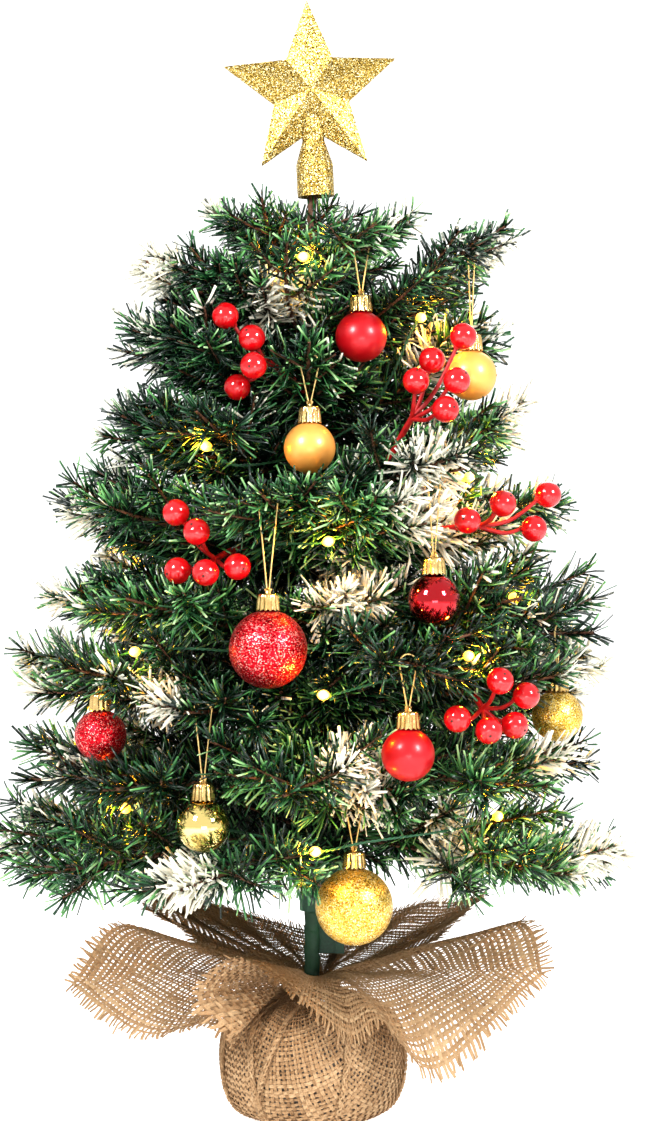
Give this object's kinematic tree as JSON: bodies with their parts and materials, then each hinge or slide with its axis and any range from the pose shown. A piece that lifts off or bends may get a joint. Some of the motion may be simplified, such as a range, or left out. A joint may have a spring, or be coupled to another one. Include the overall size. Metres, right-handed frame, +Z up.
{
  "type": "artificial tabletop tree",
  "caption": "Small artificial conifer on a burlap-wrapped weighted base, with swinging baubles, berry picks, a battery light string and a star topper that lifts off.",
  "frame": {"origin": "on the trunk's axis, at the flat underside of the burlap base", "axes": "+Z up the trunk; the decorated front faces -Y and +X is to its right"},
  "size_m": [0.3442, 0.3311, 0.6099],
  "materials": {
    "burlap": "coarse open plain weave, natural tan, frayed edges",
    "cement": "plain cast",
    "twine": "twisted jute",
    "trunk_wrap": "dark green wrapped film",
    "needles": "cut green film needles, frosted cream at some tips",
    "red_satin": "satin lacquer on plastic",
    "red_mirror": "metallised, mirror bright",
    "red_glitter": "fine glitter",
    "gold_satin": "satin lacquer on plastic",
    "gold_mirror": "metallised, mirror bright",
    "gold_glitter": "coarse glitter",
    "gold_foil": "bright fluted foil",
    "gold_cord": "twisted metallic thread",
    "berry_red": "lacquered, glossy",
    "light_wire": "thin green insulation, warm glowing lamps",
    "case_green": "moulded, fine texture",
    "cell_jacket": "plain sleeve",
    "contact_steel": "nickel plated",
    "switch_black": "moulded"
  },
  "bodies": {
    "tree": {"base_weight": "cement", "burlap_wrap": "burlap", "neck_twine": "twine", "trunk_pole": "trunk_wrap", "whorl_1": "needles", "whorl_2": "needles", "whorl_3": "needles", "whorl_4": "needles", "whorl_5": "needles", "whorl_6": "needles", "whorl_7": "needles", "whorl_8": "needles", "whorl_9": "needles", "leader": "needles", "berry_pick_1": "berry_red", "berry_pick_2": "berry_red", "berry_pick_3": "berry_red", "berry_pick_4": "berry_red", "berry_pick_5": "berry_red", "light_string": "light_wire", "battery_case": "case_green", "battery_cell_1": "cell_jacket", "battery_cell_2": "cell_jacket", "spring_contact": "contact_steel", "flat_contact": "contact_steel"},
    "bauble_1": {"bauble_1_ball": "red_satin", "bauble_1_cap": "gold_foil", "bauble_1_string": "gold_cord"},
    "bauble_2": {"bauble_2_ball": "gold_satin", "bauble_2_cap": "gold_foil", "bauble_2_string": "gold_cord"},
    "bauble_3": {"bauble_3_ball": "gold_satin", "bauble_3_cap": "gold_foil", "bauble_3_string": "gold_cord"},
    "bauble_4": {"bauble_4_ball": "red_mirror", "bauble_4_cap": "gold_foil", "bauble_4_string": "gold_cord"},
    "bauble_5": {"bauble_5_ball": "red_glitter", "bauble_5_cap": "gold_foil", "bauble_5_string": "gold_cord"},
    "bauble_6": {"bauble_6_ball": "red_glitter", "bauble_6_cap": "gold_foil", "bauble_6_string": "gold_cord"},
    "bauble_7": {"bauble_7_ball": "gold_mirror", "bauble_7_cap": "gold_foil", "bauble_7_string": "gold_cord"},
    "bauble_8": {"bauble_8_ball": "gold_glitter", "bauble_8_cap": "gold_foil", "bauble_8_string": "gold_cord"},
    "bauble_9": {"bauble_9_ball": "red_satin", "bauble_9_cap": "gold_foil", "bauble_9_string": "gold_cord"},
    "bauble_10": {"bauble_10_ball": "gold_glitter", "bauble_10_cap": "gold_foil", "bauble_10_string": "gold_cord"},
    "topper": {"star_front_shell": "gold_glitter", "star_back_shell": "gold_glitter"},
    "battery_door": {"battery_door": "case_green"},
    "switch": {"switch_slider": "switch_black"}
  },
  "joints": [
    {"name": "bauble_1_swing", "type": "hinge", "parent": "tree", "child": "bauble_1", "pos_m": [0.026, -0.06, 0.472], "axis": [-0.9176, -0.3976, 0], "range_deg": [-5, 30]},
    {"name": "bauble_2_swing", "type": "hinge", "parent": "tree", "child": "bauble_2", "pos_m": [-0.001, -0.072, 0.407], "axis": [-0.9999, 0.0139, 0], "range_deg": [-5, 30]},
    {"name": "bauble_3_swing", "type": "hinge", "parent": "tree", "child": "bauble_3", "pos_m": [0.085, -0.04, 0.469], "axis": [-0.4258, -0.9048, 0], "range_deg": [-5, 30]},
    {"name": "bauble_4_swing", "type": "hinge", "parent": "tree", "child": "bauble_4", "pos_m": [0.063, -0.097, 0.354], "axis": [-0.8386, -0.5447, 0], "range_deg": [-5, 30]},
    {"name": "bauble_5_swing", "type": "hinge", "parent": "tree", "child": "bauble_5", "pos_m": [-0.022, -0.11, 0.332], "axis": [-0.9806, 0.1961, 0], "range_deg": [-5, 30]},
    {"name": "bauble_6_swing", "type": "hinge", "parent": "tree", "child": "bauble_6", "pos_m": [-0.11, -0.074, 0.245], "axis": [-0.5582, 0.8297, 0], "range_deg": [-5, 30]},
    {"name": "bauble_7_swing", "type": "hinge", "parent": "tree", "child": "bauble_7", "pos_m": [-0.055, -0.11, 0.227], "axis": [-0.8944, 0.4472, 0], "range_deg": [-5, 30]},
    {"name": "bauble_8_swing", "type": "hinge", "parent": "tree", "child": "bauble_8", "pos_m": [0.022, -0.092, 0.18], "axis": [-0.9726, -0.2326, 0], "range_deg": [-5, 30]},
    {"name": "bauble_9_swing", "type": "hinge", "parent": "tree", "child": "bauble_9", "pos_m": [0.049, -0.12, 0.252], "axis": [-0.9258, -0.378, 0], "range_deg": [-5, 30]},
    {"name": "bauble_10_swing", "type": "hinge", "parent": "tree", "child": "bauble_10", "pos_m": [0.13, -0.05, 0.265], "axis": [-0.359, -0.9333, 0], "range_deg": [-5, 30]},
    {"name": "topper_lift", "type": "slide", "parent": "tree", "child": "topper", "axis": [-0.0489, 0, 0.9988], "range_m": [0, 0.035]},
    {"name": "battery_door_slide", "type": "slide", "parent": "tree", "child": "battery_door", "axis": [0, 0, 1], "range_m": [0, 0.01]},
    {"name": "switch_slide", "type": "slide", "parent": "tree", "child": "switch", "axis": [0, 0, -1], "range_m": [0, 0.004]}
  ]
}
